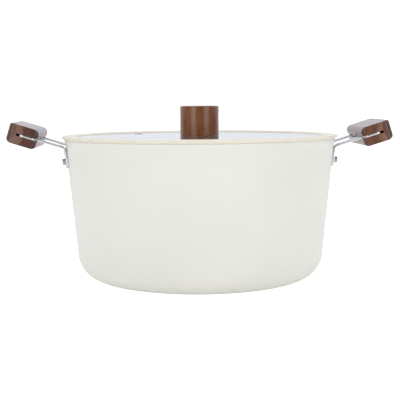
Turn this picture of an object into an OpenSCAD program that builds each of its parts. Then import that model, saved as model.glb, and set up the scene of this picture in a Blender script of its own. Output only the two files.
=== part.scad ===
// Two-handled casserole with a flat glass lid.
// Millimetres, +Z up. The origin is the centre of the underside, and the handles lie along X.

/* [Pot] */
// Height of the rim above the underside
pot_h = 148.5; // [140:0.5:156]
// Outer radius of the wall at the rim
rim_r = 142.8; // [138:0.2:148]
// Radius that the wall gains for each millimetre of height
wall_lean = 0.0957; // [0.06:0.0001:0.12]
// Thickness of the wall
wall_t = 2.8; // [2.2:0.1:3.2]
// Thickness of the flat bottom
floor_t = 4.6; // [4:0.1:6]
// Outer radius of the bend between bottom and wall
bend_out_r = 27.9; // [20:0.1:34]
// Inner radius of the same bend
bend_in_r = 24.5; // [18:0.1:30]
// Height of the band under the rim
band_h = 5; // [3:0.5:8]
// How far the band stands out from the wall
band_t = 0.4; // [0.2:0.1:0.8]
// Radius of the steel plate in the underside
plate_r = 88; // [60:1:94]
// Thickness of the steel plate
plate_t = 1.5; // [0.8:0.1:2]

/* [Handle loops] */
// Thickness of the steel sheet
sheet_t = 2.2; // [1.6:0.1:2.4]
// Width across both arms
arms_w = 65; // [60:0.5:70]
// Width of one arm
arm_w = 15; // [12:0.5:16]
// Upward tilt of the loop and its grip
tilt = 17.4; // [12:0.1:20]
// Height of the loop's middle plane above the rim's radius
loop_z = 140.7; // [138:0.1:141]
// Bend radius of an arm, at mid thickness
arm_bend_r = 4; // [3:0.5:5]
// Height of the lower end of a foot
foot_z = 119; // [112:0.5:121]
// Height of the rivets
rivet_z = 126; // [124:0.5:128]
// Diameter of a rivet's outer head
rivet_head_d = 6.8; // [6:0.1:9]
// How far a rivet's outer head stands out from the foot
rivet_head_h = 3.2; // [1.5:0.1:4]

/* [Grips] */
// Length of a grip, along Y
grip_l = 85; // [76:1:90]
// Depth of a grip, from the pot side to the outer side
grip_w = 31.4; // [27:0.1:34]
// Thickness of a grip
grip_t = 20.5; // [17:0.1:22]
// Distance along the loop's plane from the rim's radius to the grip
grip_start = 26; // [25:0.1:34]
// Height of the slot for the loop
slot_h = 2.6; // [2.5:0.1:2.8]
// Wood left between the slot and the outer side
slot_wall = 9.5; // [6:0.5:10]

/* [Lid] */
// Radius of the glass
glass_r = 137; // [136:0.1:137.5]
// Thickness of the glass
glass_t = 4; // [3:0.5:4]
// Height of the top of the glass above the rim
glass_rise = 2.2; // [2:0.1:2.4]
// Outer radius of the rim ring
ring_r = 145.6; // [144:0.1:148]
// Width of the ring's top face
ring_w = 15; // [12:0.1:16]
// Depth of the skirt inside the mouth of the pot
skirt_h = 5.6; // [5:0.1:8]
// Distance of the steam vent from the centre
vent_at_r = 104; // [80:1:115]
// Direction of the steam vent, counted from +X
vent_at_a = 130; // [90:1:180]

/* [Knob] */
// Diameter of the knob
knob_d = 41.2; // [36:0.1:46]
// Height of the knob
knob_h = 32; // [26:0.5:40]
// Rounding of the knob's top edge
knob_edge_r = 1.2; // [0.8:0.1:3]

/* [Hidden] */
$fn = 96;
ARC_STEPS = 10; // straight steps in one rounded corner
GAP = 0.05; // clearance between pieces that touch or slide into each other
CUT = 1; // how far a cutter runs past the face that it cuts

// wall of the pot
lean_a = atan(wall_lean);
wall_slant = wall_t * sqrt(1 + wall_lean * wall_lean);
band_z = pot_h - band_h;
BAND_BLEND = 0.7;
RIM_OUT_R = 0.9;
RIM_IN_R = 0.6;
PLATE_FIT = 0.2;
PLATE_EDGE = 0.3;

// rivets
shank_r = 2.4;
rivet_hole_r = shank_r + GAP;
INNER_HEAD_R = 5.5;
INNER_HEAD_H = 1.5;
INNER_HEAD_OFF = 0.15;
RIVET_ROUND = 0.7;

// one foot: the rivet's place on the wall, the flat foot's plane and its bend line
rivet_y = (arms_w - arm_w) / 2;
rivet_rho = rim_r - wall_lean * (pot_h - rivet_z);
rivet_a = asin(rivet_y / rivet_rho);
rivet_at = [rivet_rho * cos(rivet_a), rivet_y, rivet_z];
foot_n = [cos(rivet_a) * cos(lean_a), sin(rivet_a) * cos(lean_a), -sin(lean_a)];
foot_mid = rivet_at + (GAP + sheet_t / 2) * foot_n;
loop_at = [rim_r, 0, loop_z];
loop_out = [cos(tilt), 0, sin(tilt)];
loop_n = [-sin(tilt), 0, cos(tilt)];
fold = unit(cross(loop_n, foot_n));
arm_out = cross(fold, loop_n);
foot_up = cross(foot_n, fold);
fold_at = foot_mid + foot_up * ((loop_at - foot_mid) * loop_n) / (foot_up * loop_n);
fold_u = (fold_at - loop_at) * loop_out;
fold_turn = atan2(arm_out[1], arm_out * loop_out);
fold_a = acos(foot_up * arm_out);
FOOT_ROUND = 5;
ARM_STUB = 9; // flat length of an arm beyond its bend, which the plate overlaps
PLATE_FROM = 4; // where the flat plate begins, beyond the rim's radius
INSET = 0.03; // how far an arm's bend and foot stay inside the plate's faces where they join it

// loop's flat plate, in its own plane: u runs outward from the rim's radius and v along Y
TONGUE_IN = 1.2; // how far the tongue stops short of each end of the grip
TONGUE_SHORT = 1.6; // how far the tongue stops short of the end of the slot
TONGUE_SET_BACK = 2; // how far the tongue's sides start behind the grip's pot side
WINDOW_ROUND = 6;
FLARE_R = 4;
CROSSBAR_U = 6; // how far the window runs into the grip
slot_end_u = grip_start + grip_w - slot_wall;
tongue_end_u = slot_end_u - TONGUE_SHORT;
tongue_half = grip_l / 2 - TONGUE_IN;

// grip, in the loop's frame
GRIP_RAISE = 0.1; // how far the grip's middle lies above the loop's middle plane
grip_low_w = GRIP_RAISE - grip_t / 2;
GRIP_OUT_PLAN_R = 6.5;
GRIP_IN_PLAN_R = 4;
GRIP_OUT_TOP_R = 2.4;
GRIP_OUT_LOW_R = 4.5;
GRIP_IN_TOP_R = 5.5;
GRIP_IN_LOW_R = 4;

// grip screws
SCREW_IN = 12.5; // distance from the grip's pot side to the screws
screw_u = grip_start + SCREW_IN;
SCREW_V = 22;
SCREW_R = 1.7;
SCREW_HEAD_R = 3.4;
SCREW_HEAD_H = 2.4;
SCREW_SINK = 0.6; // how far a head lies below the grip's underside
SCREW_TIP_W = 6.5;
SCREW_PLAY = 0.2; // clearance around a screw where it passes through a plate or washer
SEAT_PLAY = 0.3; // clearance around a screw's head in its seat
TIP_PLAY = 0.5; // free depth beyond a screw's tip
SCREW_CROSS_W = 4;
SCREW_CROSS_H = 1.3;
head_seat_w = grip_low_w + SCREW_SINK + SCREW_HEAD_H;

// lid
glass_top = pot_h + glass_rise;
glass_low = glass_top - glass_t;
ring_in_r = ring_r - ring_w;
RING_CROWN = 1.7; // height of the ring's crown above the glass
RING_LEG = 1.5; // thickness of the leg under the glass
skirt_low = pot_h - skirt_h;
skirt_r = rim_r - wall_slant - 0.6;
vent_at = [vent_at_r * cos(vent_at_a), vent_at_r * sin(vent_at_a)];
VENT_BORE_R = 2.2;
VENT_TUBE_R = 3;
VENT_FLANGE_R = 4.7;
VENT_FLANGE_H = 0.9;
VENT_WASHER_H = 0.8;

// knob and its fixing, stacked along Z
KNOB_OFF = 0.1;
GASKET_R = 15;
GASKET_H = 0.7;
INSERT_R = 5;
INSERT_H = 14;
FIX_R = 3; // radius of the fixing screw
BUSH_R = 4.8;
BUSH_FLANGE_R = 11;
BUSH_FLANGE_H = 1.5;
WASHER_R = 9.5;
WASHER_H = 1.2;
FIX_HEAD_R = 5.6;
FIX_HEAD_H = 3.2;
FIX_CROSS_W = 6.5;
FIX_CROSS_H = 1.8;
FIX_REACH = 12; // how far the fixing screw runs up above the glass
gasket_top = glass_top + GASKET_H;
bush_low = glass_low - BUSH_FLANGE_H;
washer_low = bush_low - WASHER_H;
fix_head_low = washer_low - FIX_HEAD_H;

// ---- helpers ----

function unit(v) = v / norm(v);

// Points on an arc about c, from angle a0 to angle a1.
function arc(c, r, a0, a1) = [
    for (i = [0:ARC_STEPS])
        let (a = a0 + (a1 - a0) * i / ARC_STEPS)
        c + r * [cos(a), sin(a)]
];

// A rectangle from low to high with its own rounding at each corner.
function rounded_rect(low, high, low_left, low_right, high_right, high_left) = concat(
    arc([low[0] + low_left, low[1] + low_left], low_left, 180, 270),
    arc([high[0] - low_right, low[1] + low_right], low_right, 270, 360),
    arc([high[0] - high_right, high[1] - high_right], high_right, 0, 90),
    arc([low[0] + high_left, high[1] - high_left], high_left, 90, 180)
);

// Outer radius of the wall's straight line at height z.
function wall_r(z) = rim_r - wall_lean * (pot_h - z);

// Centre of the bend of radius r that touches a floor at z and a wall line moved in by inset.
function bend_centre(r, z, inset) =
    [wall_r(z + r) - inset - r * sqrt(1 + wall_lean * wall_lean), z + r];

// Places children in the frame of the loop: X outward along its plane, Z normal to it.
module in_loop() {
    translate(loop_at) rotate([0, -tilt, 0]) children();
}

// Places children at a rivet with Z along the wall's outward normal; side is -1 front or 1 rear.
module at_rivet(side) {
    translate([rivet_at[0], side * rivet_at[1], rivet_at[2]])
        rotate([0, 90 + lean_a, side * rivet_a])
            children();
}

// A cross recess, cut downward from z = 0.
module cross_recess(across, deep) {
    for (a = [0, 90])
        rotate([0, 0, a])
            translate([-across / 2, -across / 10, -deep])
                cube([across, across / 5, deep + CUT]);
}

// ---- pot ----

// Deep pan with leaning wall, rounded bottom bend and a slightly thicker band under the rim.
module pot_profile() {
    out_c = bend_centre(bend_out_r, 0, 0);
    in_c = bend_centre(bend_in_r, floor_t, wall_slant);
    rim_out = rim_r + band_t;
    rim_in = rim_r - wall_slant;
    polygon(concat(
        [[0, 0]],
        arc(out_c, bend_out_r, -90, -lean_a),
        [[wall_r(band_z), band_z]],
        [[wall_r(band_z + BAND_BLEND) + band_t, band_z + BAND_BLEND]],
        arc([rim_out - RIM_OUT_R, pot_h - RIM_OUT_R], RIM_OUT_R, 0, 90),
        arc([rim_in + RIM_IN_R, pot_h - RIM_IN_R], RIM_IN_R, 90, 180),
        arc(in_c, bend_in_r, -lean_a, -90),
        [[0, floor_t]]
    ));
}

module pot_body() {
    color("#e8e8e2")
        difference() {
            rotate_extrude($fn = 180) pot_profile();
            translate([0, 0, -CUT])
                cylinder(r = plate_r + PLATE_FIT, h = plate_t + CUT);
            for (flip = [0, 1], side = [-1, 1])
                mirror([flip, 0, 0])
                    at_rivet(side)
                        translate([0, 0, -2 * wall_t])
                            cylinder(r = rivet_hole_r, h = 3 * wall_t);
        }
}

// Magnetic steel disc let into the underside, flush with it.
module induction_plate() {
    color("#b9babc")
        rotate_extrude($fn = 180)
            polygon([
                [0, 0],
                [plate_r - PLATE_EDGE, 0],
                [plate_r, PLATE_EDGE],
                [plate_r, plate_t],
                [0, plate_t]
            ]);
}

// ---- handles: the right-hand one is drawn, and the left-hand one is its mirror image ----

// The flat plate: two arms, joined by a wider tongue that the grip covers.
module loop_plate() {
    arms_half = arms_w / 2;
    window_half = arms_half - arm_w;
    flare_u = grip_start + TONGUE_SET_BACK;
    tongue_r = GRIP_OUT_PLAN_R - 2;
    window_end = grip_start + CROSSBAR_U;
    linear_extrude(height = sheet_t, center = true)
        difference() {
            union() {
                translate([PLATE_FROM, -arms_half])
                    square([tongue_end_u - PLATE_FROM - 2, arms_w]);
                polygon(rounded_rect(
                    [flare_u, -tongue_half], [tongue_end_u, tongue_half],
                    FLARE_R, tongue_r, tongue_r, FLARE_R
                ));
            }
            polygon(rounded_rect(
                [-FOOT_ROUND - WINDOW_ROUND, -window_half], [window_end, window_half],
                1, WINDOW_ROUND, WINDOW_ROUND, 1
            ));
        }
}

// Section across one fold: the stub of the arm, the bend, and the foot along the wall.
module fold_profile() {
    half = sheet_t / 2;
    start = arm_bend_r * tan(fold_a / 2);
    bend_c = [start, -arm_bend_r];
    to_pot = [cos(90 + fold_a), sin(90 + fold_a)];
    foot_end = [-cos(fold_a), -sin(fold_a)] * (loop_z - foot_z + FOOT_ROUND);
    stub_end = start + ARM_STUB;
    polygon(concat(
        [[stub_end, INSET - half], [stub_end, half - INSET]],
        arc(bend_c, arm_bend_r + half, 90, 90 + fold_a),
        [foot_end + half * to_pot, foot_end - half * to_pot],
        arc(bend_c, arm_bend_r - half, 90 + fold_a, 90)
    ));
}

// One arm's bend and foot; the sides are trimmed flush with the arm and the lower end is rounded.
module loop_foot() {
    arms_half = arms_w / 2;
    intersection() {
        in_loop()
            translate([fold_u, fold_at[1], 0])
                rotate([0, 0, fold_turn])
                    rotate([90, 0, 0])
                        linear_extrude(height = 2 * arm_w, center = true)
                            fold_profile();
        translate([rim_r - 20, 0, 0])
            rotate([90, 0, 90])
                linear_extrude(height = 40)
                    polygon(rounded_rect(
                        [arms_half - arm_w + INSET, foot_z], [arms_half - INSET, loop_z + 20],
                        FOOT_ROUND, FOOT_ROUND, 1, 1
                    ));
    }
}

module handle_loop() {
    color("#cfd2d6")
        difference() {
            union() {
                in_loop() loop_plate();
                loop_foot();
                mirror([0, 1, 0]) loop_foot();
            }
            for (side = [-1, 1])
                at_rivet(side)
                    translate([0, 0, -CUT])
                        cylinder(r = rivet_hole_r, h = sheet_t + 2 * CUT);
            in_loop()
                for (side = [-1, 1])
                    translate([screw_u, side * SCREW_V, -sheet_t])
                        cylinder(r = SCREW_R + SCREW_PLAY, h = 2 * sheet_t);
        }
}

// Seen from above, a grip has large outer corners; seen from its end, a softer pot side.
module grip_block() {
    grip_end = grip_start + grip_w;
    intersection() {
        translate([0, 0, grip_low_w])
            linear_extrude(height = grip_t)
                polygon(rounded_rect(
                    [grip_start, -grip_l / 2], [grip_end, grip_l / 2],
                    GRIP_IN_PLAN_R, GRIP_OUT_PLAN_R, GRIP_OUT_PLAN_R, GRIP_IN_PLAN_R
                ));
        rotate([90, 0, 0])
            linear_extrude(height = grip_l + 2 * CUT, center = true)
                polygon(rounded_rect(
                    [grip_start, grip_low_w], [grip_end, grip_low_w + grip_t],
                    GRIP_IN_LOW_R, GRIP_OUT_LOW_R, GRIP_OUT_TOP_R, GRIP_IN_TOP_R
                ));
    }
}

// The wooden grip, slotted from the pot side through both ends for the loop's tongue.
module handle_grip() {
    color("#6b4029")
        in_loop()
            difference() {
                grip_block();
                translate([grip_start - CUT, -grip_l / 2 - CUT, -sheet_t / 2])
                    cube([grip_w - slot_wall + CUT, grip_l + 2 * CUT, slot_h]);
                for (side = [-1, 1])
                    translate([screw_u, side * SCREW_V, 0]) {
                        translate([0, 0, grip_low_w - CUT])
                            cylinder(r = SCREW_HEAD_R + SEAT_PLAY, h = SCREW_SINK + SCREW_HEAD_H + CUT);
                        translate([0, 0, grip_low_w])
                            cylinder(r = SCREW_R + GAP, h = SCREW_TIP_W - grip_low_w + TIP_PLAY);
                    }
            }
}

// One rivet: outer head on the foot, shank through foot and wall, low head inside the pot.
module rivet(side) {
    head_from = GAP + sheet_t;
    head_top = head_from + rivet_head_h;
    head_r = rivet_head_d / 2;
    inner_top = -wall_t - INNER_HEAD_OFF;
    inner_low = inner_top - INNER_HEAD_H;
    color("#a9adb0")
        at_rivet(side)
            rotate_extrude()
                polygon(concat(
                    [[0, inner_low]],
                    arc([INNER_HEAD_R - INNER_HEAD_H, inner_top], INNER_HEAD_H, -90, 0),
                    [[shank_r, inner_top], [shank_r, head_from], [head_r, head_from]],
                    arc([head_r - RIVET_ROUND, head_top - RIVET_ROUND], RIVET_ROUND, 0, 90),
                    [[0, head_top]]
                ));
}

// Pan-head screws driven up through the lower jaw and the tongue into the upper jaw.
module grip_screws() {
    color("#9fa3a6")
        in_loop()
            for (side = [-1, 1])
                translate([screw_u, side * SCREW_V, 0])
                    difference() {
                        union() {
                            translate([0, 0, head_seat_w - SCREW_HEAD_H])
                                cylinder(r = SCREW_HEAD_R, h = SCREW_HEAD_H);
                            translate([0, 0, head_seat_w - CUT])
                                cylinder(r = SCREW_R, h = SCREW_TIP_W - head_seat_w + CUT);
                        }
                        translate([0, 0, head_seat_w - SCREW_HEAD_H])
                            mirror([0, 0, 1])
                                cross_recess(SCREW_CROSS_W, SCREW_CROSS_H);
                    }
}

module right_loop() { handle_loop(); }
module right_grip() { handle_grip(); }
module right_front_rivet() { rivet(-1); }
module right_rear_rivet() { rivet(1); }
module right_grip_screws() { grip_screws(); }
module left_loop() { mirror([1, 0, 0]) handle_loop(); }
module left_grip() { mirror([1, 0, 0]) handle_grip(); }
module left_front_rivet() { mirror([1, 0, 0]) rivet(-1); }
module left_rear_rivet() { mirror([1, 0, 0]) rivet(1); }
module left_grip_screws() { mirror([1, 0, 0]) grip_screws(); }

// ---- lid ----

module lid_glass() {
    color([0.86, 0.91, 0.93, 0.45])
        difference() {
            translate([0, 0, glass_low]) cylinder(r = glass_r, h = glass_t, $fn = 180);
            translate([0, 0, glass_low - CUT]) cylinder(r = BUSH_R + GAP, h = glass_t + 2 * CUT);
            translate([vent_at[0], vent_at[1], glass_low - CUT])
                cylinder(r = VENT_TUBE_R + GAP, h = glass_t + 2 * CUT);
        }
}

// Silicone ring: grips the edge of the glass, rests on the rim and plugs the mouth of the pot.
module lid_ring() {
    crown_z = glass_top + RING_CROWN;
    lip_z = pot_h + 0.8;
    leg_in_r = ring_in_r + 1;
    leg_z = glass_low - RING_LEG;
    color("#e9e4d4")
        rotate_extrude($fn = 180)
            polygon(concat(
                [[glass_r, glass_low], [glass_r, glass_top], [ring_in_r, glass_top]],
                [[ring_in_r + 0.4, glass_top + 0.5], [ring_in_r + 1.8, glass_top + 1]],
                [[ring_in_r + 4.2, crown_z - 0.2], [ring_in_r + 6.6, crown_z]],
                [[ring_in_r + 9, crown_z], [ring_in_r + 11.4, crown_z - 0.3]],
                arc([ring_r - 1.6, crown_z - 2], 1.6, 70, 0),
                [[ring_r, lip_z + 0.3], [ring_r - 0.3, lip_z], [ring_r - 1.6, lip_z]],
                [[ring_r - 2, pot_h], [skirt_r + 0.6, pot_h], [skirt_r, pot_h - 0.8]],
                [[skirt_r - 0.4, skirt_low + 0.8], [skirt_r - 1.2, skirt_low]],
                [[skirt_r - 3, skirt_low], [skirt_r - 4.4, leg_z]],
                [[leg_in_r + 0.6, leg_z], [leg_in_r, leg_z + 0.6], [leg_in_r, glass_low]]
            ));
}

// Steel eyelet through the glass, with a rounded flange on top.
module vent_eyelet() {
    tube_low = glass_low - VENT_WASHER_H - 0.6;
    flange_top = glass_top + VENT_FLANGE_H;
    color("#c4c7c9")
        translate([vent_at[0], vent_at[1], 0])
            rotate_extrude()
                polygon(concat(
                    [[VENT_BORE_R, tube_low], [VENT_TUBE_R, tube_low], [VENT_TUBE_R, glass_top]],
                    [[VENT_FLANGE_R, glass_top]],
                    arc([VENT_FLANGE_R - 0.7, flange_top - 0.7], 0.7, 0, 90),
                    arc([VENT_BORE_R + 0.5, flange_top - 0.5], 0.5, 90, 180)
                ));
}

// Steel washer that the eyelet's lower end is closed over.
module vent_washer() {
    color("#c4c7c9")
        translate([vent_at[0], vent_at[1], glass_low - VENT_WASHER_H])
            difference() {
                cylinder(r = VENT_FLANGE_R, h = VENT_WASHER_H);
                translate([0, 0, -CUT])
                    cylinder(r = VENT_TUBE_R + GAP, h = VENT_WASHER_H + 2 * CUT);
            }
}

// ---- knob and its fixing ----

// Turned wooden knob with a shallow seat for the gasket and a blind hole for the insert.
module knob() {
    low = glass_top + KNOB_OFF;
    top = glass_top + knob_h;
    r = knob_d / 2;
    hole_top = gasket_top + INSERT_H + TIP_PLAY;
    color("#764c33")
        rotate_extrude()
            polygon(concat(
                [[GASKET_R + 0.2, low]],
                arc([r - 0.5, low + 0.5], 0.5, -90, 0),
                arc([r - knob_edge_r, top - knob_edge_r], knob_edge_r, 0, 90),
                [[0, top], [0, hole_top], [INSERT_R + GAP, hole_top]],
                [[INSERT_R + GAP, gasket_top], [GASKET_R + 0.2, gasket_top]]
            ));
}

// Clear silicone disc that cushions the knob on the glass.
module knob_gasket() {
    color("#d8dcdd")
        translate([0, 0, glass_top])
            difference() {
                cylinder(r = GASKET_R, h = GASKET_H);
                translate([0, 0, -CUT]) cylinder(r = BUSH_R + GAP, h = GASKET_H + 2 * CUT);
            }
}

// Brass insert pressed into the knob.
module knob_insert() {
    color("#b08d4f")
        translate([0, 0, gasket_top])
            difference() {
                cylinder(r = INSERT_R, h = INSERT_H);
                translate([0, 0, -CUT]) cylinder(r = FIX_R + GAP, h = INSERT_H + 2 * CUT);
            }
}

// Flanged bush that keeps the screw off the glass.
module knob_bush() {
    color("#e4e4e0")
        difference() {
            union() {
                translate([0, 0, bush_low]) cylinder(r = BUSH_FLANGE_R, h = BUSH_FLANGE_H);
                translate([0, 0, bush_low]) cylinder(r = BUSH_R, h = glass_top - bush_low);
            }
            translate([0, 0, bush_low - CUT])
                cylinder(r = FIX_R + GAP, h = glass_top - bush_low + 2 * CUT);
        }
}

module knob_washer() {
    color("#c4c7c9")
        translate([0, 0, washer_low])
            difference() {
                cylinder(r = WASHER_R, h = WASHER_H);
                translate([0, 0, -CUT]) cylinder(r = FIX_R + SCREW_PLAY, h = WASHER_H + 2 * CUT);
            }
}

// Pan-head screw, driven from under the glass into the insert.
module knob_screw() {
    color("#b4b7ba")
        difference() {
            union() {
                translate([0, 0, fix_head_low]) cylinder(r = FIX_HEAD_R, h = FIX_HEAD_H);
                translate([0, 0, washer_low - CUT])
                    cylinder(r = FIX_R, h = glass_top + FIX_REACH - washer_low + CUT);
            }
            translate([0, 0, fix_head_low])
                mirror([0, 0, 1])
                    cross_recess(FIX_CROSS_W, FIX_CROSS_H);
        }
}

pot_body();
induction_plate();
left_loop();
left_grip();
left_front_rivet();
left_rear_rivet();
left_grip_screws();
right_loop();
right_grip();
right_front_rivet();
right_rear_rivet();
right_grip_screws();
lid_glass();
lid_ring();
vent_eyelet();
vent_washer();
knob();
knob_gasket();
knob_insert();
knob_bush();
knob_washer();
knob_screw();
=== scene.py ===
"""Looks of a two-handled pot with a flat glass lid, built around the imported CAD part."""
import math

import bmesh
import bpy
from mathutils import Matrix, Vector


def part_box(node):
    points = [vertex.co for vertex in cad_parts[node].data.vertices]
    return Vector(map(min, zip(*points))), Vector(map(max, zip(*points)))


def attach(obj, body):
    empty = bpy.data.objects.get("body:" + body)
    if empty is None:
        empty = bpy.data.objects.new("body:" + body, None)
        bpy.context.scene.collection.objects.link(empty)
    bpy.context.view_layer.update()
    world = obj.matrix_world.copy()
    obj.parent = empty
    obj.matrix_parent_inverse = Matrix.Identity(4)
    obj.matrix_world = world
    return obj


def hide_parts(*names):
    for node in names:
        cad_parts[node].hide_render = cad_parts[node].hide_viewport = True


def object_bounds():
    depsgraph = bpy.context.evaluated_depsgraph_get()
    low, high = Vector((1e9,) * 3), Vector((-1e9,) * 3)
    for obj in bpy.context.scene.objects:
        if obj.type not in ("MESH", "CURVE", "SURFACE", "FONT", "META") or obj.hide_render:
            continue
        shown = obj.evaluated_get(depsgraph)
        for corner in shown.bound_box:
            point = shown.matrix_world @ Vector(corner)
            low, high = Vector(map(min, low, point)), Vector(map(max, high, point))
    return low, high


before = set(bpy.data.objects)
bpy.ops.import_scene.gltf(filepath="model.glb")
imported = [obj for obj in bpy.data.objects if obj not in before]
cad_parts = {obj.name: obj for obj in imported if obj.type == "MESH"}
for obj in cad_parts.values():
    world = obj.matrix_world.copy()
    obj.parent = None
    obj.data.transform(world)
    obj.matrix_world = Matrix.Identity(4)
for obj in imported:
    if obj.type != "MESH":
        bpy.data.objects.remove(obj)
CAD_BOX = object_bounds()
MM = 0.001

# ---------------------------------------------------------------- mesh helpers


def arc(centre, radius, start, end, steps):
    """Points on an arc from angle start to angle end, in degrees."""
    angles = [math.radians(start + (end - start) * i / steps) for i in range(steps + 1)]
    return [(centre[0] + radius * math.cos(a), centre[1] + radius * math.sin(a)) for a in angles]


def circle(centre, radius, count):
    """Points round a circle, starting on its +X side."""
    turns = [2 * math.pi * i / count for i in range(count)]
    return [(centre[0] + radius * math.cos(a), centre[1] + radius * math.sin(a)) for a in turns]


def mesh_object(name, bm, smooth_angle=35.0):
    """Makes an object from a bmesh, shaded smooth up to the given angle."""
    bmesh.ops.recalc_face_normals(bm, faces=bm.faces)
    mesh = bpy.data.meshes.new(name)
    bm.to_mesh(mesh)
    bm.free()
    obj = bpy.data.objects.new(name, mesh)
    bpy.context.scene.collection.objects.link(obj)
    for polygon in mesh.polygons:
        polygon.use_smooth = True
    mesh.set_sharp_from_angle(angle=math.radians(smooth_angle))
    return obj


def flatten_faces(obj):
    """Large flat faces keep their own normal, so that only the roundings between them shade smoothly."""
    weighted = obj.modifiers.new("flat_faces", "WEIGHTED_NORMAL")
    weighted.keep_sharp = True
    weighted.weight = 100


def skin(bm, rings, wrap_rings):
    """Faces between neighbouring closed rings of vertices; a ring of one vertex makes a fan."""
    pairs = list(zip(rings, rings[1:]))
    if wrap_rings:
        pairs.append((rings[-1], rings[0]))
    for low, high in pairs:
        count = max(len(low), len(high))
        if count == 1:
            continue
        for i in range(count):
            j = (i + 1) % count
            quad = [low[i % len(low)], low[j % len(low)], high[j % len(high)], high[i % len(high)]]
            corners = [v for k, v in enumerate(quad) if v not in quad[:k]]
            bm.faces.new(corners)


def lathe(name, profile, segments):
    """Turns a profile of (radius, height) points about an upright axis; a radius of 0 closes it."""
    bm = bmesh.new()
    rings = []
    for radius, height in profile:
        points = circle((0.0, 0.0), radius, segments) if radius else [(0.0, 0.0)]
        rings.append([bm.verts.new((*point, height)) for point in points])
    open_ends = len(rings[0]) > 1 and len(rings[-1]) > 1
    skin(bm, rings, wrap_rings=open_ends)
    return mesh_object(name, bm)


def refined(node, name, edge):
    """A copy of a CAD node with its flat faces joined up, its edges broken by `edge` and smooth shading."""
    bm = bmesh.new()
    bm.from_mesh(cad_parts[node].data)
    bmesh.ops.remove_doubles(bm, verts=bm.verts, dist=2e-6)
    bmesh.ops.dissolve_limit(bm, angle_limit=math.radians(0.6), verts=bm.verts, edges=bm.edges)
    bm.normal_update()
    sharp = [e for e in bm.edges if len(e.link_faces) == 2 and e.calc_face_angle(0.0) > math.radians(40)]
    bmesh.ops.bevel(
        bm, geom=sharp, offset=edge, offset_type="OFFSET", segments=2,
        profile=0.5, affect="EDGES", clamp_overlap=True,
    )
    return mesh_object(name, bm)


def give(obj, body, nodes, material):
    """Puts a finished piece on its CAD body, in place of CAD nodes, with its material."""
    obj.data.materials.clear()
    obj.data.materials.append(material)
    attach(obj, body)
    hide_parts(*nodes)


def carve(obj, bm, label):
    """Cuts the closed shape in bm out of obj with a boolean."""
    cutter = mesh_object("cutter", bm)
    boolean = obj.modifiers.new(label, "BOOLEAN")
    boolean.object = cutter
    boolean.solver = "EXACT"
    bpy.context.view_layer.update()
    shape = bpy.data.meshes.new_from_object(obj.evaluated_get(bpy.context.evaluated_depsgraph_get()))
    obj.modifiers.clear()
    obj.data = shape
    for polygon in shape.polygons:
        polygon.use_smooth = True
    shape.set_sharp_from_angle(angle=math.radians(30))
    bpy.data.objects.remove(cutter)


# ---------------------------------------------------------------- material helpers


class Nodes:
    """A short way to write a node material."""

    def __init__(self, name):
        self.material = bpy.data.materials.new(name)
        self.material.use_nodes = True
        self.tree = self.material.node_tree
        self.shader = self.tree.nodes["Principled BSDF"]
        self.output = self.tree.nodes["Material Output"]

    def add(self, kind, inputs=None, **settings):
        node = self.tree.nodes.new(kind)
        for key, value in settings.items():
            setattr(node, key, value)
        for key, value in (inputs or {}).items():
            self.feed(node.inputs[key], value)
        return node

    def feed(self, socket, value):
        if isinstance(value, bpy.types.NodeSocket):
            self.tree.links.new(value, socket)
        else:
            socket.default_value = value

    def set(self, **values):
        for key, value in values.items():
            self.feed(self.shader.inputs[key.replace("_", " ")], value)

    def place(self, scale=(1, 1, 1)):
        """The point on the object, scaled."""
        where = self.add("ShaderNodeTexCoord").outputs["Object"]
        return self.add("ShaderNodeMapping", {"Vector": where, "Scale": scale}).outputs["Vector"]

    def noise(self, vector, scale, detail=3.0, roughness=0.5, distortion=0.0):
        return self.add(
            "ShaderNodeTexNoise",
            {"Vector": vector, "Scale": scale, "Detail": detail, "Roughness": roughness, "Distortion": distortion},
        ).outputs["Fac"]

    def ramp(self, fac, stops):
        """A colour ramp through (position, colour) stops."""
        node = self.add("ShaderNodeValToRGB", {"Fac": fac})
        band = node.color_ramp
        while len(band.elements) < len(stops):
            band.elements.new(0.5)
        for element, (position, colour) in zip(band.elements, stops):
            element.position = position
            element.color = (*colour, 1.0)
        return node.outputs["Color"]

    def span(self, value, low, high, from_low, from_high):
        """value moved from the range (from_low, from_high) to the range (low, high)."""
        return self.add(
            "ShaderNodeMapRange",
            {"Value": value, "From Min": from_low, "From Max": from_high, "To Min": low, "To Max": high},
        ).outputs["Result"]

    def mix(self, fac, a, b):
        node = self.add("ShaderNodeMix", data_type="RGBA")
        for socket, value in ((node.inputs[0], fac), (node.inputs[6], a), (node.inputs[7], b)):
            self.feed(socket, value)
        return node.outputs[2]

    def math(self, operation, a, b):
        node = self.add("ShaderNodeMath", operation=operation)
        self.feed(node.inputs[0], a)
        self.feed(node.inputs[1], b)
        return node.outputs[0]

    def vector(self, operation, a, b):
        return self.add("ShaderNodeVectorMath", {0: a, 1: b}, operation=operation).outputs[0]

    def bump(self, height, distance, strength):
        inputs = {"Height": height, "Distance": distance, "Strength": strength}
        return self.add("ShaderNodeBump", inputs).outputs["Normal"]


def srgb(r, g, b):
    """A colour given as 0-255 screen values, as the linear values that shaders use."""
    return tuple(c / 12.92 if c <= 0.04045 else ((c + 0.055) / 1.055) ** 2.4 for c in (r / 255, g / 255, b / 255))


# ---------------------------------------------------------------- materials

RING_WANDER = 3.5 * MM  # how far the wood's growth rings wander
BAND_HALF = 14.5 * MM  # half the width that a wood's band of colours covers


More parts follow.
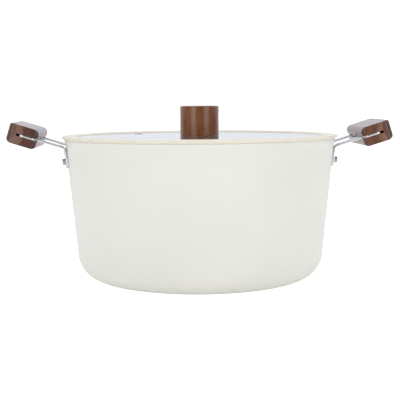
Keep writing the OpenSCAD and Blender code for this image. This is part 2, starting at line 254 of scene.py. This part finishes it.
def ceramic_coat():
    """Satin off-white ceramic: faint cloudiness, fine orange peel, slightly uneven gloss."""
    n = Nodes("pot_ceramic_coat")
    cloud = n.noise(n.place(), 14.0, 4.0)
    speck = n.noise(n.place(), 900.0, 2.0)
    tone = n.ramp(cloud, [(0.3, srgb(229, 230, 224)), (0.7, srgb(234, 234, 229))])
    fleck = n.span(speck, 0.0, 1.0, 0.68, 0.78)
    n.set(
        Base_Color=n.mix(fleck, tone, (*srgb(214, 211, 200), 1.0)),
        Roughness=n.span(cloud, 0.36, 0.46, 0.3, 0.7),
        IOR=1.5,
        Coat_Weight=0.35,
        Coat_Roughness=0.22,
        Normal=n.bump(n.noise(n.place(), 420.0, 2.0), 0.00002, 0.35),
    )
    return n.material


def silicone(name, dark, light):
    """Moulded silicone: matt, with dusty variation and a fine moulded skin."""
    n = Nodes(name)
    cloud = n.noise(n.place(), 60.0, 4.0)
    n.set(
        Base_Color=n.ramp(cloud, [(0.3, dark), (0.7, light)]),
        Roughness=n.span(cloud, 0.45, 0.56, 0.3, 0.7),
        IOR=1.41,
        Normal=n.bump(n.noise(n.place(), 1500.0, 2.0), 0.00001, 0.4),
    )
    return n.material


def clear_glass():
    """Tempered glass that lets lamp light through to the pan."""
    n = Nodes("lid_clear_glass")
    ripple = n.noise(n.place(), 9.0, 1.0)
    n.set(
        Base_Color=(*srgb(243, 250, 250), 1.0),
        Roughness=0.0,
        IOR=1.5,
        Transmission_Weight=1.0,
        Normal=n.bump(ripple, 0.00003, 0.1),
    )
    see = n.add("ShaderNodeBsdfTransparent", {"Color": (0.9, 0.94, 0.94, 1.0)})
    shadow = n.add("ShaderNodeLightPath").outputs["Is Shadow Ray"]
    mix = n.add("ShaderNodeMixShader", {0: shadow, 1: n.shader.outputs[0], 2: see.outputs[0]})
    n.tree.links.new(mix.outputs[0], n.output.inputs["Surface"])
    return n.material


def steel(name, grey, roughness, streak=(1, 1, 1), tint=(1.0, 1.0, 1.01)):
    """Satin steel, with fine streaks along the axis whose scale is small."""
    n = Nodes(name)
    lines = n.noise(n.place(streak), 900.0, 3.0, 0.6)
    smudge = n.noise(n.place(), 45.0, 3.0)
    low, high = grey * 0.93, min(grey * 1.05, 1.0)
    n.set(
        Base_Color=n.ramp(lines, [(0.3, tuple(low * t for t in tint)), (0.7, tuple(high * t for t in tint))]),
        Metallic=1.0,
        Roughness=n.span(smudge, roughness - 0.05, roughness + 0.07, 0.3, 0.7),
        Normal=n.bump(lines, 0.000006, 0.5),
    )
    return n.material


def turned_steel():
    """Spun disc: concentric turning marks."""
    n = Nodes("induction_steel")
    rings = n.add(
        "ShaderNodeTexWave",
        {"Vector": n.place(), "Scale": 380.0, "Distortion": 0.6, "Detail": 2.0, "Detail Scale": 6.0},
        wave_type="RINGS", rings_direction="Z",
    ).outputs["Fac"]
    n.set(
        Base_Color=n.ramp(rings, [(0.0, (0.46, 0.47, 0.48)), (1.0, (0.6, 0.61, 0.62))]),
        Metallic=1.0,
        Roughness=n.span(n.noise(n.place(), 30.0), 0.3, 0.42, 0.3, 0.7),
        Normal=n.bump(rings, 0.00004, 0.6),
    )
    return n.material


def plain(name, colour, roughness, metallic=0.0):
    """A small hidden part: even colour with light soiling."""
    n = Nodes(name)
    cloud = n.noise(n.place(), 160.0, 3.0)
    n.set(
        Base_Color=n.mix(n.span(cloud, 0.0, 0.25, 0.4, 0.8), (*colour, 1.0), (*(c * 0.55 for c in colour), 1.0)),
        Metallic=metallic,
        Roughness=n.span(cloud, roughness - 0.05, roughness + 0.08, 0.3, 0.7),
    )
    return n.material


def varnished_wood(name, place, tones, band, fineness, gloss):
    """Walnut under gloss varnish. place(n) gives points with the grain along Y and the growth rings
    stacked along X; tones are the grain's dark, middle and light colours, band is the (position, colour)
    ramp across X, whose light stops on the grips and the knob are a painted sheen over the wood's broad tone,
    fineness scales the fibres a little, and gloss is the varnish's roughness."""
    n = Nodes(name)
    dark, mid, light = tones
    at = place(n)
    wander = n.noise(n.vector("MULTIPLY", at, (45.0, 7.0, 45.0)), 1.0, 3.0, 0.55)
    x = n.add("ShaderNodeSeparateXYZ", {0: at}).outputs["X"]
    ring_at = n.math("ADD", x, n.span(wander, -RING_WANDER, RING_WANDER, 0.3, 0.7))
    # painted sheen: the band's light stops stand in for soft reflections, mixed into the wood's broad tone
    band_tone_and_sheen = n.ramp(n.span(ring_at, 0.0, 1.0, -BAND_HALF, BAND_HALF), band)
    fibre = n.noise(n.vector("MULTIPLY", at, (900.0, 28.0, 900.0)), fineness, 4.0, 0.6, 0.4)
    pores = n.noise(n.vector("MULTIPLY", at, (2600.0, 120.0, 2600.0)), 1.0, 2.0)
    grain = n.ramp(fibre, [(0.25, dark), (0.5, mid), (0.78, light)])
    colour = n.mix(0.5, grain, band_tone_and_sheen)
    pore = n.span(pores, 0.0, 0.7, 0.6, 0.72)
    n.set(
        Base_Color=n.mix(pore, colour, (*(c * 0.45 for c in dark), 1.0)),
        Roughness=0.5,
        IOR=1.45,
        Specular_IOR_Level=0.15,
        Coat_Weight=1.0,
        Coat_IOR=1.5,
        Coat_Roughness=gloss,
        Normal=n.bump(fibre, 0.00003, 0.3),
        Coat_Normal=n.bump(wander, 0.00025, 0.25),
    )
    return n.material


# ---------------------------------------------------------------- the pot

RIM_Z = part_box("pot_body")[1].z
RIM_R = 142.8 * MM
RIM_OUT_R = 0.9 * MM
RIM_IN_R = 0.6 * MM
WALL_LEAN = 0.0957
LEAN_A = math.degrees(math.atan(WALL_LEAN))
SLANT = math.hypot(1.0, WALL_LEAN)
WALL_T = 2.8 * MM * SLANT
FLOOR_T = 4.6 * MM
BEND_OUT_R = 27.9 * MM
BEND_IN_R = 24.5 * MM
BAND_H = 5.0 * MM
BAND_T = 0.4 * MM
BAND_BLEND = ((0.3, 0.3), (0.55, 0.85), (0.9, 1.0))  # millimetres up from the band's foot, share of BAND_T
PLATE_CHAMFER = 0.25 * MM


def wall_r(z):
    """Outer radius of the wall's straight line at height z."""
    return RIM_R - WALL_LEAN * (RIM_Z - z)


def pot_profile():
    """The pan's section from the middle of the underside round to the middle of the inside."""
    out_c = (wall_r(BEND_OUT_R) - BEND_OUT_R * SLANT, BEND_OUT_R)
    in_z = FLOOR_T + BEND_IN_R
    in_c = (wall_r(in_z) - WALL_T - BEND_IN_R * SLANT, in_z)
    band_z = RIM_Z - BAND_H
    rim_in = RIM_R - WALL_T
    rim_out = RIM_R + BAND_T
    plate_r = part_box("induction_plate")[1].x + 0.2 * MM
    plate_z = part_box("induction_plate")[1].z
    wall_steps = 12
    wall = [band_z * (i / wall_steps) + BEND_OUT_R * (1 - i / wall_steps) for i in range(1, wall_steps)]
    inner_top = RIM_Z - RIM_OUT_R
    inner = [inner_top * (1 - i / wall_steps) + in_z * (i / wall_steps) for i in range(1, wall_steps)]
    return (
        [(0.0, plate_z), (plate_r, plate_z), (plate_r, PLATE_CHAMFER), (plate_r + PLATE_CHAMFER, 0.0)]
        + arc(out_c, BEND_OUT_R, -90, -LEAN_A, 28)
        + [(wall_r(z), z) for z in wall]
        + [(wall_r(band_z), band_z)]
        + [(wall_r(band_z + h * MM) + t * BAND_T, band_z + h * MM) for h, t in BAND_BLEND]
        + arc((rim_out - RIM_OUT_R, RIM_Z - RIM_OUT_R), RIM_OUT_R, 0, 90, 8)
        + arc((rim_in + RIM_IN_R, RIM_Z - RIM_IN_R), RIM_IN_R, 90, 180, 6)
        + [(wall_r(z) - WALL_T, z) for z in inner]
        + arc(in_c, BEND_IN_R, -LEAN_A, -90, 24)
        + [(in_c[0] * 0.66, FLOOR_T), (in_c[0] * 0.33, FLOOR_T), (0.0, FLOOR_T)]
    )


def build_pot():
    shell = lathe("pot_shell", pot_profile(), segments=288)
    give(shell, "pot", ["pot_body"], ceramic_coat())
    disc = refined("induction_plate", "induction_disc", 0.15 * MM)
    give(disc, "pot", ["induction_plate"], turned_steel())


# ---------------------------------------------------------------- the handles

TILT = math.radians(17.4)
LOOP_Z = 140.7 * MM
GRIP_START = 26.0 * MM
GRIP_W = 31.4 * MM
GRIP_L = 85.0 * MM
GRIP_T = 20.5 * MM
GRIP_LOW = 0.1 * MM - GRIP_T / 2
IN_PLAN_R, OUT_PLAN_R = 4.0 * MM, 6.5 * MM
IN_TOP_R, IN_LOW_R, OUT_LOW_R, OUT_TOP_R = 5.5 * MM, 4.0 * MM, 4.5 * MM, 2.4 * MM
SHEET_T = 2.2 * MM
SLOT_H = 2.6 * MM
SLOT_WALL = 9.5 * MM
GRIP_END_EDGE = 1.3 * MM
SLOT_EDGE = 0.35 * MM
SLOT_LIP = 0.4 * MM
SCREW_U = GRIP_START + 12.5 * MM
SCREW_V = 22.0 * MM


def loop_frame(side):
    """From the loop's own frame (outward, along Y, normal) to the row's frame; side is -1 or 1 in X."""
    tilt = Matrix.Translation((RIM_R, 0.0, LOOP_Z)) @ Matrix.Rotation(-TILT, 4, "Y")
    return Matrix.Diagonal((side, 1.0, 1.0, 1.0)) @ tilt


def grip_section(v):
    """The grip's C-shaped section, as (u, w) points, at a place v along its length."""
    half = GRIP_L / 2
    from_end = half - abs(v)

    def corner(radius):
        """How far a rounded corner of this radius has pulled in at this section."""
        into = max(radius - from_end, 0.0)
        return radius - math.sqrt(max(radius * radius - into * into, 0.0))

    edge = corner(GRIP_END_EDGE)
    slot_edge = corner(SLOT_EDGE)
    u0 = GRIP_START + corner(IN_PLAN_R)
    u1 = GRIP_START + GRIP_W - corner(OUT_PLAN_R)
    w0 = GRIP_LOW + edge
    w1 = GRIP_LOW + GRIP_T - edge
    slot0 = -SHEET_T / 2 - slot_edge
    slot1 = SLOT_H - SHEET_T / 2 + slot_edge
    slot_u = GRIP_START + GRIP_W - SLOT_WALL + slot_edge
    return (
        arc((u0 + SLOT_LIP, slot1 + SLOT_LIP), SLOT_LIP, 270, 180, 4)
        + arc((u0 + IN_TOP_R, w1 - IN_TOP_R), IN_TOP_R, 180, 90, 12)
        + arc((u1 - OUT_TOP_R, w1 - OUT_TOP_R), OUT_TOP_R, 90, 0, 8)
        + arc((u1 - OUT_LOW_R, w0 + OUT_LOW_R), OUT_LOW_R, 0, -90, 10)
        + arc((u0 + IN_LOW_R, w0 + IN_LOW_R), IN_LOW_R, 270, 180, 10)
        + arc((u0 + SLOT_LIP, slot0 - SLOT_LIP), SLOT_LIP, 180, 90, 4)
        + [(slot_u, slot0), (slot_u, slot1)]
    )


def grip_stations():
    """Places along the grip: close together where its ends round off."""
    half = GRIP_L / 2
    near_end = [0.0, 0.04, 0.15, 0.35, 0.6, 0.9, 1.3, 1.8, 2.5, 3.5, 5.0, 7.0, 9.0]
    ends = [half - d * MM for d in near_end]
    middle = [half * f for f in (0.6, 0.4, 0.2, 0.0)]
    positive = ends + middle
    return [-v for v in positive] + [v for v in reversed(positive[:-1])]


def build_grip(side, name, node, material):
    place = loop_frame(side)
    bm = bmesh.new()
    rings = []
    for v in grip_stations():
        rings.append([bm.verts.new(place @ Vector((u, v, w))) for u, w in grip_section(v)])
    skin(bm, rings, wrap_rings=False)
    bm.faces.new(rings[0])
    bm.faces.new(rings[-1])
    grip = mesh_object(name, bm, 30.0)
    cut_screw_holes(grip, place)
    flatten_faces(grip)
    give(grip, "pot", [node], material)


def cut_screw_holes(grip, place):
    """Cuts the stepped screw holes into the underside."""
    bm = bmesh.new()
    mouth_r, seat_r, shank_r = 4.1 * MM, 3.7 * MM, 1.75 * MM
    below, seat, top = GRIP_LOW - 1 * MM, GRIP_LOW + 3.0 * MM, 7.0 * MM
    steps = [
        (0.0, below), (mouth_r, below), (mouth_r, GRIP_LOW - 0.02 * MM), (seat_r, GRIP_LOW + 0.3 * MM),
        (seat_r, seat), (shank_r, seat), (shank_r, top), (0.0, top),
    ]
    for v in (-SCREW_V, SCREW_V):
        rings = []
        for radius, w in steps:
            points = circle((SCREW_U, v), radius, 32) if radius else [(SCREW_U, v)]
            rings.append([bm.verts.new(place @ Vector((*point, w))) for point in points])
        skin(bm, rings, wrap_rings=False)
    carve(grip, bm, "screw_holes")


def grip_place(side):
    """Wood coordinates of a grip: X across the growth rings, from the pot side out; Y along it."""
    mid = loop_frame(side) @ Vector((GRIP_START + GRIP_W / 2, 0.0, 0.0))

    def place(n):
        where = n.add("ShaderNodeTexCoord").outputs["Object"]
        moved = n.vector("SUBTRACT", where, tuple(mid))
        turn = {"Vector": moved, "Angle": TILT * side}
        spun = n.add("ShaderNodeVectorRotate", turn, rotation_type="Y_AXIS").outputs[0]
        return n.vector("MULTIPLY", spun, (side, 1.0, 1.0))

    return place


def build_handles():
    loops = steel("loop_satin_steel", 0.72, 0.26, streak=(0.06, 1.0, 1.0), tint=(0.985, 0.99, 1.02))
    rivets = steel("rivet_steel", 0.55, 0.32)
    screws = steel("screw_steel", 0.55, 0.3)
    tones = srgb(48, 21, 10), srgb(84, 40, 18), srgb(118, 68, 36)
    # left grip: the light tan stops at 0.58 and 0.8 are a painted sheen, a soft reflection on the end face; the
    # other stops are the walnut's own tone
    left_band_and_sheen = [
        (0.0, srgb(38, 20, 14)), (0.2, srgb(64, 28, 16)), (0.38, srgb(84, 36, 20)), (0.5, srgb(48, 22, 14)),
        (0.58, srgb(142, 106, 88)), (0.8, srgb(150, 116, 102)), (0.88, srgb(88, 58, 50)), (1.0, srgb(76, 56, 52)),
    ]
    # right grip: the light tan stop at 0.74 is a painted sheen, a soft reflection on the end face; the other stops
    # are the walnut's own tone
    right_band_and_sheen = [
        (0.0, srgb(96, 54, 24)), (0.2, srgb(118, 74, 34)), (0.42, srgb(92, 48, 26)), (0.55, srgb(116, 72, 38)),
        (0.74, srgb(164, 124, 100)), (0.82, srgb(96, 52, 38)), (1.0, srgb(70, 42, 38)),
    ]
    for hand, side, band, fineness in (("left", -1, left_band_and_sheen, 1.03), ("right", 1, right_band_and_sheen, 1.07)):
        wood = varnished_wood(hand + "_grip_walnut", grip_place(side), tones, band, fineness, 0.22)
        build_grip(side, hand + "_grip_block", hand + "_grip", wood)
        loop = refined(hand + "_loop", hand + "_loop_sheet", 0.3 * MM)
        give(loop, "pot", [hand + "_loop"], loops)
        for place in ("front", "rear"):
            node = f"{hand}_{place}_rivet"
            give(refined(node, node + "_turned", 0.08 * MM), "pot", [node], rivets)
        node = hand + "_grip_screws"
        give(refined(node, node + "_pan", 0.12 * MM), "pot", [node], screws)


# ---------------------------------------------------------------- the lid

RING_W = 15.0 * MM  # width of the ring seen from above
SKIRT_GAP = 0.6 * MM  # between the ring's skirt and the pan's wall
LIP_RISE = 0.8 * MM  # height of the ring's outer lip above the rim
LEG_T = 1.5 * MM  # thickness of the leg under the glass
GLASS_HOLE_R = 4.85 * MM
GLASS_EDGE = 0.5 * MM
VENT_HOLE_R = 3.05 * MM
# the crown: millimetres out from the ring's inner edge, share of the rise from the glass to the top
CROWN = (
    (0.1, 0.03), (0.35, 0.26), (1.0, 0.46), (2.2, 0.66), (3.8, 0.84),
    (5.6, 0.96), (7.6, 1.0), (9.6, 0.97), (11.4, 0.86),
)


def ring_profile():
    """Section of the silicone ring, from the top edge of its groove round to the bottom edge."""
    low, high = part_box("lid_ring")
    glass_low, glass_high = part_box("lid_glass")
    ring_r, crown_z = min(high.x, high.y), high.z
    glass_r, glass_z = glass_high.x, glass_high.z
    in_r = ring_r - RING_W
    skirt_r = RIM_R - WALL_T - SKIRT_GAP
    lip_z = RIM_Z + LIP_RISE
    leg_z = glass_low.z - LEG_T
    crown = [(in_r + out * MM, glass_z + share * (crown_z - glass_z)) for out, share in CROWN]
    edge_r = 1.5 * MM
    edge_c = (ring_r - edge_r, crown_z - 0.42 * MM - edge_r)
    return (
        [(glass_r, glass_low.z), (glass_r, glass_z), (in_r, glass_z)]
        + crown
        + arc(edge_c, edge_r, 66, 0, 8)
        + [(ring_r, lip_z + 0.45 * MM)]
        + arc((ring_r - 0.4 * MM, lip_z + 0.4 * MM), 0.4 * MM, 0, -90, 4)
        + [(ring_r - 1.6 * MM, lip_z), (ring_r - 1.9 * MM, lip_z - 0.3 * MM), (ring_r - 2.0 * MM, RIM_Z)]
        + [(skirt_r + 0.6 * MM, RIM_Z)]
        + arc((skirt_r + 0.6 * MM, RIM_Z - 0.6 * MM), 0.6 * MM, 90, 180, 4)[1:]
        + [(skirt_r - 0.3 * MM, low.z + 1.1 * MM)]
        + arc((skirt_r - 1.4 * MM, low.z + 0.9 * MM), 0.9 * MM, 0, -90, 6)
        + [(skirt_r - 2.8 * MM, low.z), (skirt_r - 3.4 * MM, low.z + 0.35 * MM), (skirt_r - 4.4 * MM, leg_z)]
        + arc((in_r + 1.6 * MM, leg_z + 0.6 * MM), 0.6 * MM, 270, 180, 6)
        + [(in_r + 1.0 * MM, glass_low.z)]
    )


def glass_profile():
    """The glass disc's section, with its middle hole and ground edges."""
    low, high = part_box("lid_glass")
    hole_r, edge = GLASS_HOLE_R, GLASS_EDGE
    return [
        (hole_r, low.z + edge), (hole_r + edge, low.z), (high.x - edge, low.z), (high.x, low.z + edge),
        (high.x, high.z - edge), (high.x - edge, high.z), (hole_r + edge, high.z), (hole_r, high.z - edge),
    ]


def knob_profile():
    """Turned knob: a faint crown, soft edges, the gasket's seat and the insert's hole."""
    low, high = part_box("knob")
    gasket_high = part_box("knob_gasket")[1]
    insert_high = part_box("knob_insert")[1]
    r = high.x
    hole_r = insert_high.x + 0.05 * MM
    seat_r = gasket_high.x + 0.2 * MM
    insert_top = insert_high.z + 0.5 * MM
    foot_r = 0.5 * MM
    top_r = 1.3 * MM
    crown = 0.25 * MM
    return (
        [(seat_r, gasket_high.z), (seat_r, low.z + 0.2 * MM), (seat_r + 0.2 * MM, low.z)]
        + arc((r - foot_r, low.z + foot_r), foot_r, -90, 0, 5)
        + arc((r - top_r, high.z - crown - top_r), top_r, 0, 80, 8)
        + [(r * f, high.z - crown * f ** 6) for f in (0.9, 0.75, 0.5, 0.25)]
        + [(0.0, high.z), (0.0, insert_top), (hole_r, insert_top), (hole_r, gasket_high.z)]
    )


def knob_place(n):
    """Wood coordinates of the knob: the grain runs up its axis."""
    where = n.add("ShaderNodeTexCoord").outputs["Object"]
    turn = {"Vector": where, "Center": (0.0, 0.0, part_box("knob")[0].z), "Angle": math.radians(90)}
    return n.add("ShaderNodeVectorRotate", turn, rotation_type="X_AXIS").outputs[0]


def drill(obj, radius, centre, low, high):
    """Drills an upright round hole through obj."""
    bm = bmesh.new()
    edge = circle(centre, radius, 48)
    sections = ((low, [centre]), (low, edge), (high, edge), (high, [centre]))
    rings = [[bm.verts.new((*point, z)) for point in points] for z, points in sections]
    skin(bm, rings, wrap_rings=False)
    carve(obj, bm, "hole")


def build_lid():
    ring = lathe("lid_rim_silicone", ring_profile(), segments=288)
    give(ring, "lid", ["lid_ring"],
         silicone("ring_beige_silicone", srgb(230, 225, 211), srgb(238, 232, 219)))

    glass_low, glass_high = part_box("lid_glass")
    vent_low, vent_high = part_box("vent_washer")
    vent_at = ((vent_low.x + vent_high.x) / 2, (vent_low.y + vent_high.y) / 2)
    glass = lathe("lid_pane", glass_profile(), segments=288)
    drill(glass, VENT_HOLE_R, vent_at, glass_low.z - MM, glass_high.z + MM)
    give(glass, "lid", ["lid_glass"], clear_glass())

    tones = srgb(100, 52, 20), srgb(126, 70, 31), srgb(150, 90, 46)
    # the light stop at 0.3 is a painted reflection, a light upright stripe left of the knob's middle; the other
    # stops are the walnut's own tone
    band = [
        (0.0, srgb(130, 76, 34)), (0.3, srgb(140, 86, 42)), (0.5, srgb(122, 68, 30)), (0.75, srgb(118, 64, 30)),
        (1.0, srgb(112, 60, 28)),
    ]
    wood = varnished_wood("knob_walnut", knob_place, tones, band, 1.09, 0.18)
    give(lathe("knob_turned", knob_profile(), segments=128), "lid", ["knob"], wood)

    eyelet = steel("eyelet_polished_steel", 0.66, 0.18)
    fixings = steel("fixing_steel", 0.6, 0.28)
    small = [
        ("vent_eyelet", 0.06, "eyelet_steel", eyelet),
        ("vent_washer", 0.12, "eyelet_steel", eyelet),
        ("knob_gasket", 0.1, "gasket_silicone", silicone("gasket_silicone", (0.6, 0.62, 0.62), (0.7, 0.72, 0.72))),
        ("knob_insert", 0.15, "insert_brass", plain("insert_brass", (0.6, 0.42, 0.16), 0.3, 1.0)),
        ("knob_bush", 0.2, "bush_nylon", plain("bush_nylon", (0.78, 0.78, 0.74), 0.45)),
        ("knob_washer", 0.15, "screw_steel", fixings),
        ("knob_screw", 0.2, "screw_steel", fixings),
    ]
    for node, edge, slot, material in small:
        give(refined(node, node + "_fine", edge * MM), "lid", [node], material)


# ---------------------------------------------------------------- studio


def build_floor():
    """Plain pale floor, bright enough to read as white paper under a light tent."""
    n = Nodes("white_floor")
    seen = n.add("ShaderNodeLightPath").outputs["Is Camera Ray"]
    n.set(
        Base_Color=(0.8, 0.79, 0.76, 1.0), Roughness=1.0, Specular_IOR_Level=0.0,
        Emission_Color=(1.0, 1.0, 1.0, 1.0), Emission_Strength=n.math("ADD", n.math("MULTIPLY", seen, 0.74), 0.23),
    )
    bm = bmesh.new()
    bmesh.ops.create_grid(bm, x_segments=1, y_segments=1, size=12.0)
    floor = mesh_object("floor", bm)
    floor.location.z = CAD_BOX[0].z - 0.3 * MM
    floor.data.materials.append(n.material)


def build_world():
    """White surround: the camera sees plain white, and the tent behind it is darker at the front."""
    world = bpy.data.worlds.new("tent")
    bpy.context.scene.world = world
    world.use_nodes = True
    tree = world.node_tree
    tree.nodes.clear()
    add, link = tree.nodes.new, tree.links.new
    where = add("ShaderNodeTexCoord")
    split = add("ShaderNodeSeparateXYZ")
    link(where.outputs["Generated"], split.inputs[0])
    ramp = add("ShaderNodeValToRGB")
    span = add("ShaderNodeMapRange")
    span.inputs["From Min"].default_value = -1.0
    link(split.outputs["Y"], span.inputs["Value"])
    link(span.outputs["Result"], ramp.inputs["Fac"])
    stops = [
        (0.0, (0.28, 0.28, 0.28)), (0.3, (0.42, 0.42, 0.42)), (0.45, (0.62, 0.62, 0.63)),
        (0.8, (0.84, 0.86, 0.92)), (1.0, (0.9, 0.93, 1.0)),
    ]
    while len(ramp.color_ramp.elements) < len(stops):
        ramp.color_ramp.elements.new(0.5)
    for element, (position, colour) in zip(ramp.color_ramp.elements, stops):
        element.position = position
        element.color = (*colour, 1.0)
    surround = add("ShaderNodeBackground")
    link(ramp.outputs["Color"], surround.inputs["Color"])
    seen = add("ShaderNodeBackground")
    seen.inputs["Color"].default_value = (1.0, 1.0, 1.0, 1.0)
    seen.inputs["Strength"].default_value = 1.05
    path = add("ShaderNodeLightPath")
    mix = add("ShaderNodeMixShader")
    link(path.outputs["Is Camera Ray"], mix.inputs[0])
    link(surround.outputs[0], mix.inputs[1])
    link(seen.outputs[0], mix.inputs[2])
    out = add("ShaderNodeOutputWorld")
    link(mix.outputs[0], out.inputs["Surface"])


def softbox(name, location, target, width, height, radiance):
    """An area light whose face has the given radiance."""
    data = bpy.data.lights.new(name, "AREA")
    data.shape = "RECTANGLE"
    data.size, data.size_y = width, height
    data.energy = radiance * math.pi * width * height
    light = bpy.data.objects.new(name, data)
    bpy.context.scene.collection.objects.link(light)
    light.location = location
    light.rotation_euler = (Vector(target) - Vector(location)).to_track_quat("-Z", "Y").to_euler()


def build_lights():
    middle = (0.0, 0.0, 0.09)
    distance = 1.6
    for name, azimuth in (("left_box", -38.0), ("right_box", 40.0)):
        a = math.radians(azimuth)
        at = (distance * math.sin(a), -distance * math.cos(a), 0.55)
        softbox(name, at, middle, 0.85, 1.5, 1.82)
    softbox("top_box", (0.0, 0.3, 1.6), middle, 2.2, 1.6, 0.8)


def build_camera():
    """A long lens a metre away, slightly above the rim and turned a little to the left of the front."""
    distance, height = 1.0237, 0.1894
    azimuth, pitch, roll = math.radians(-2.3), math.radians(6.01), math.radians(-0.39)
    data = bpy.data.cameras.new("camera")
    data.sensor_width = 36.0
    data.lens = 86.1
    camera = bpy.data.objects.new("camera", data)
    bpy.context.scene.collection.objects.link(camera)
    turn = (
        Matrix.Rotation(azimuth, 4, "Z")
        @ Matrix.Rotation(math.pi / 2 - pitch, 4, "X")
        @ Matrix.Rotation(roll, 4, "Z")
    )
    place = Vector((distance * math.sin(azimuth), -distance * math.cos(azimuth), height))
    camera.matrix_world = Matrix.Translation(place) @ turn
    bpy.context.scene.camera = camera


build_camera()
build_pot()
build_handles()
build_lid()
build_floor()
build_world()
build_lights()
bpy.context.scene.view_settings.view_transform = "Standard"
bpy.context.scene.view_settings.look = "None"
